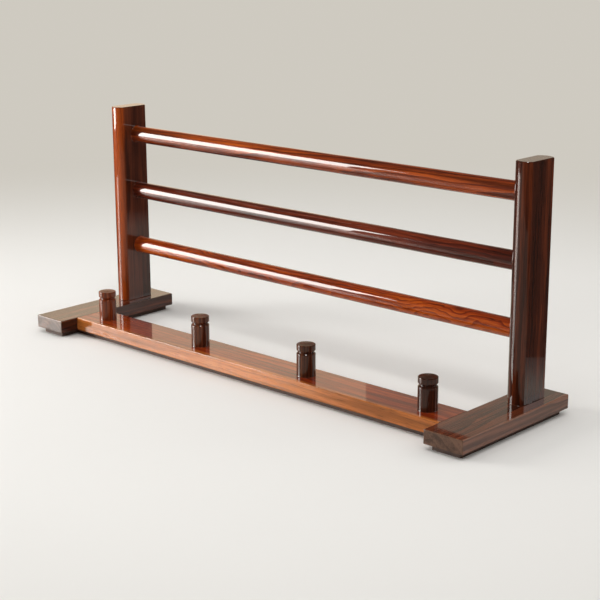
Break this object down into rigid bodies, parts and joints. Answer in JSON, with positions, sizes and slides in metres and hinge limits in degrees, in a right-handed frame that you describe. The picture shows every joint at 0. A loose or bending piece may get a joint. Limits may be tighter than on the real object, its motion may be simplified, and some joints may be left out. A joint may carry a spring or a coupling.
{
  "type": "wall hat and coat rack",
  "caption": "Rigid wooden wall rack: turned coat pegs on a board below, hat shelf of round rails between two uprights above, keyhole hangers on the back.",
  "frame": {"origin": "middle of the underside, which is the back that lies on the wall", "axes": "+X along the rails, +Y towards the shelf end, which is the top when the rack hangs, +Z away from the wall"},
  "size_m": [0.645, 0.18, 0.266],
  "materials": {
    "lacquered_rosewood": "high-gloss clear lacquer over dark red-brown rosewood with black streaks",
    "stained_backing_wood": "matte dark stain, unfilled grain",
    "beech_dowel": "raw fluted beech",
    "zinc_plated_screw": "zinc-plated steel, slightly dull",
    "brass_screw": "slotted brass, aged",
    "brass_plate": "stamped brass, satin, slightly tarnished"
  },
  "bodies": {
    "root": {"left_foot": "lacquered_rosewood", "right_foot": "lacquered_rosewood", "peg_board": "lacquered_rosewood", "left_upright": "lacquered_rosewood", "right_upright": "lacquered_rosewood", "shelf_rail_1": "lacquered_rosewood", "shelf_rail_2": "lacquered_rosewood", "shelf_rail_3": "lacquered_rosewood", "coat_peg_1": "lacquered_rosewood", "coat_peg_2": "lacquered_rosewood", "coat_peg_3": "lacquered_rosewood", "coat_peg_4": "lacquered_rosewood", "left_foot_pad": "stained_backing_wood", "right_foot_pad": "stained_backing_wood", "board_backing": "stained_backing_wood", "board_dowels": "beech_dowel", "upright_dowels": "beech_dowel", "upright_screws": "zinc_plated_screw", "back_screws": "brass_screw", "hanger_screws": "brass_screw", "left_hanger_plate": "brass_plate", "right_hanger_plate": "brass_plate"}
  },
  "joints": []
}
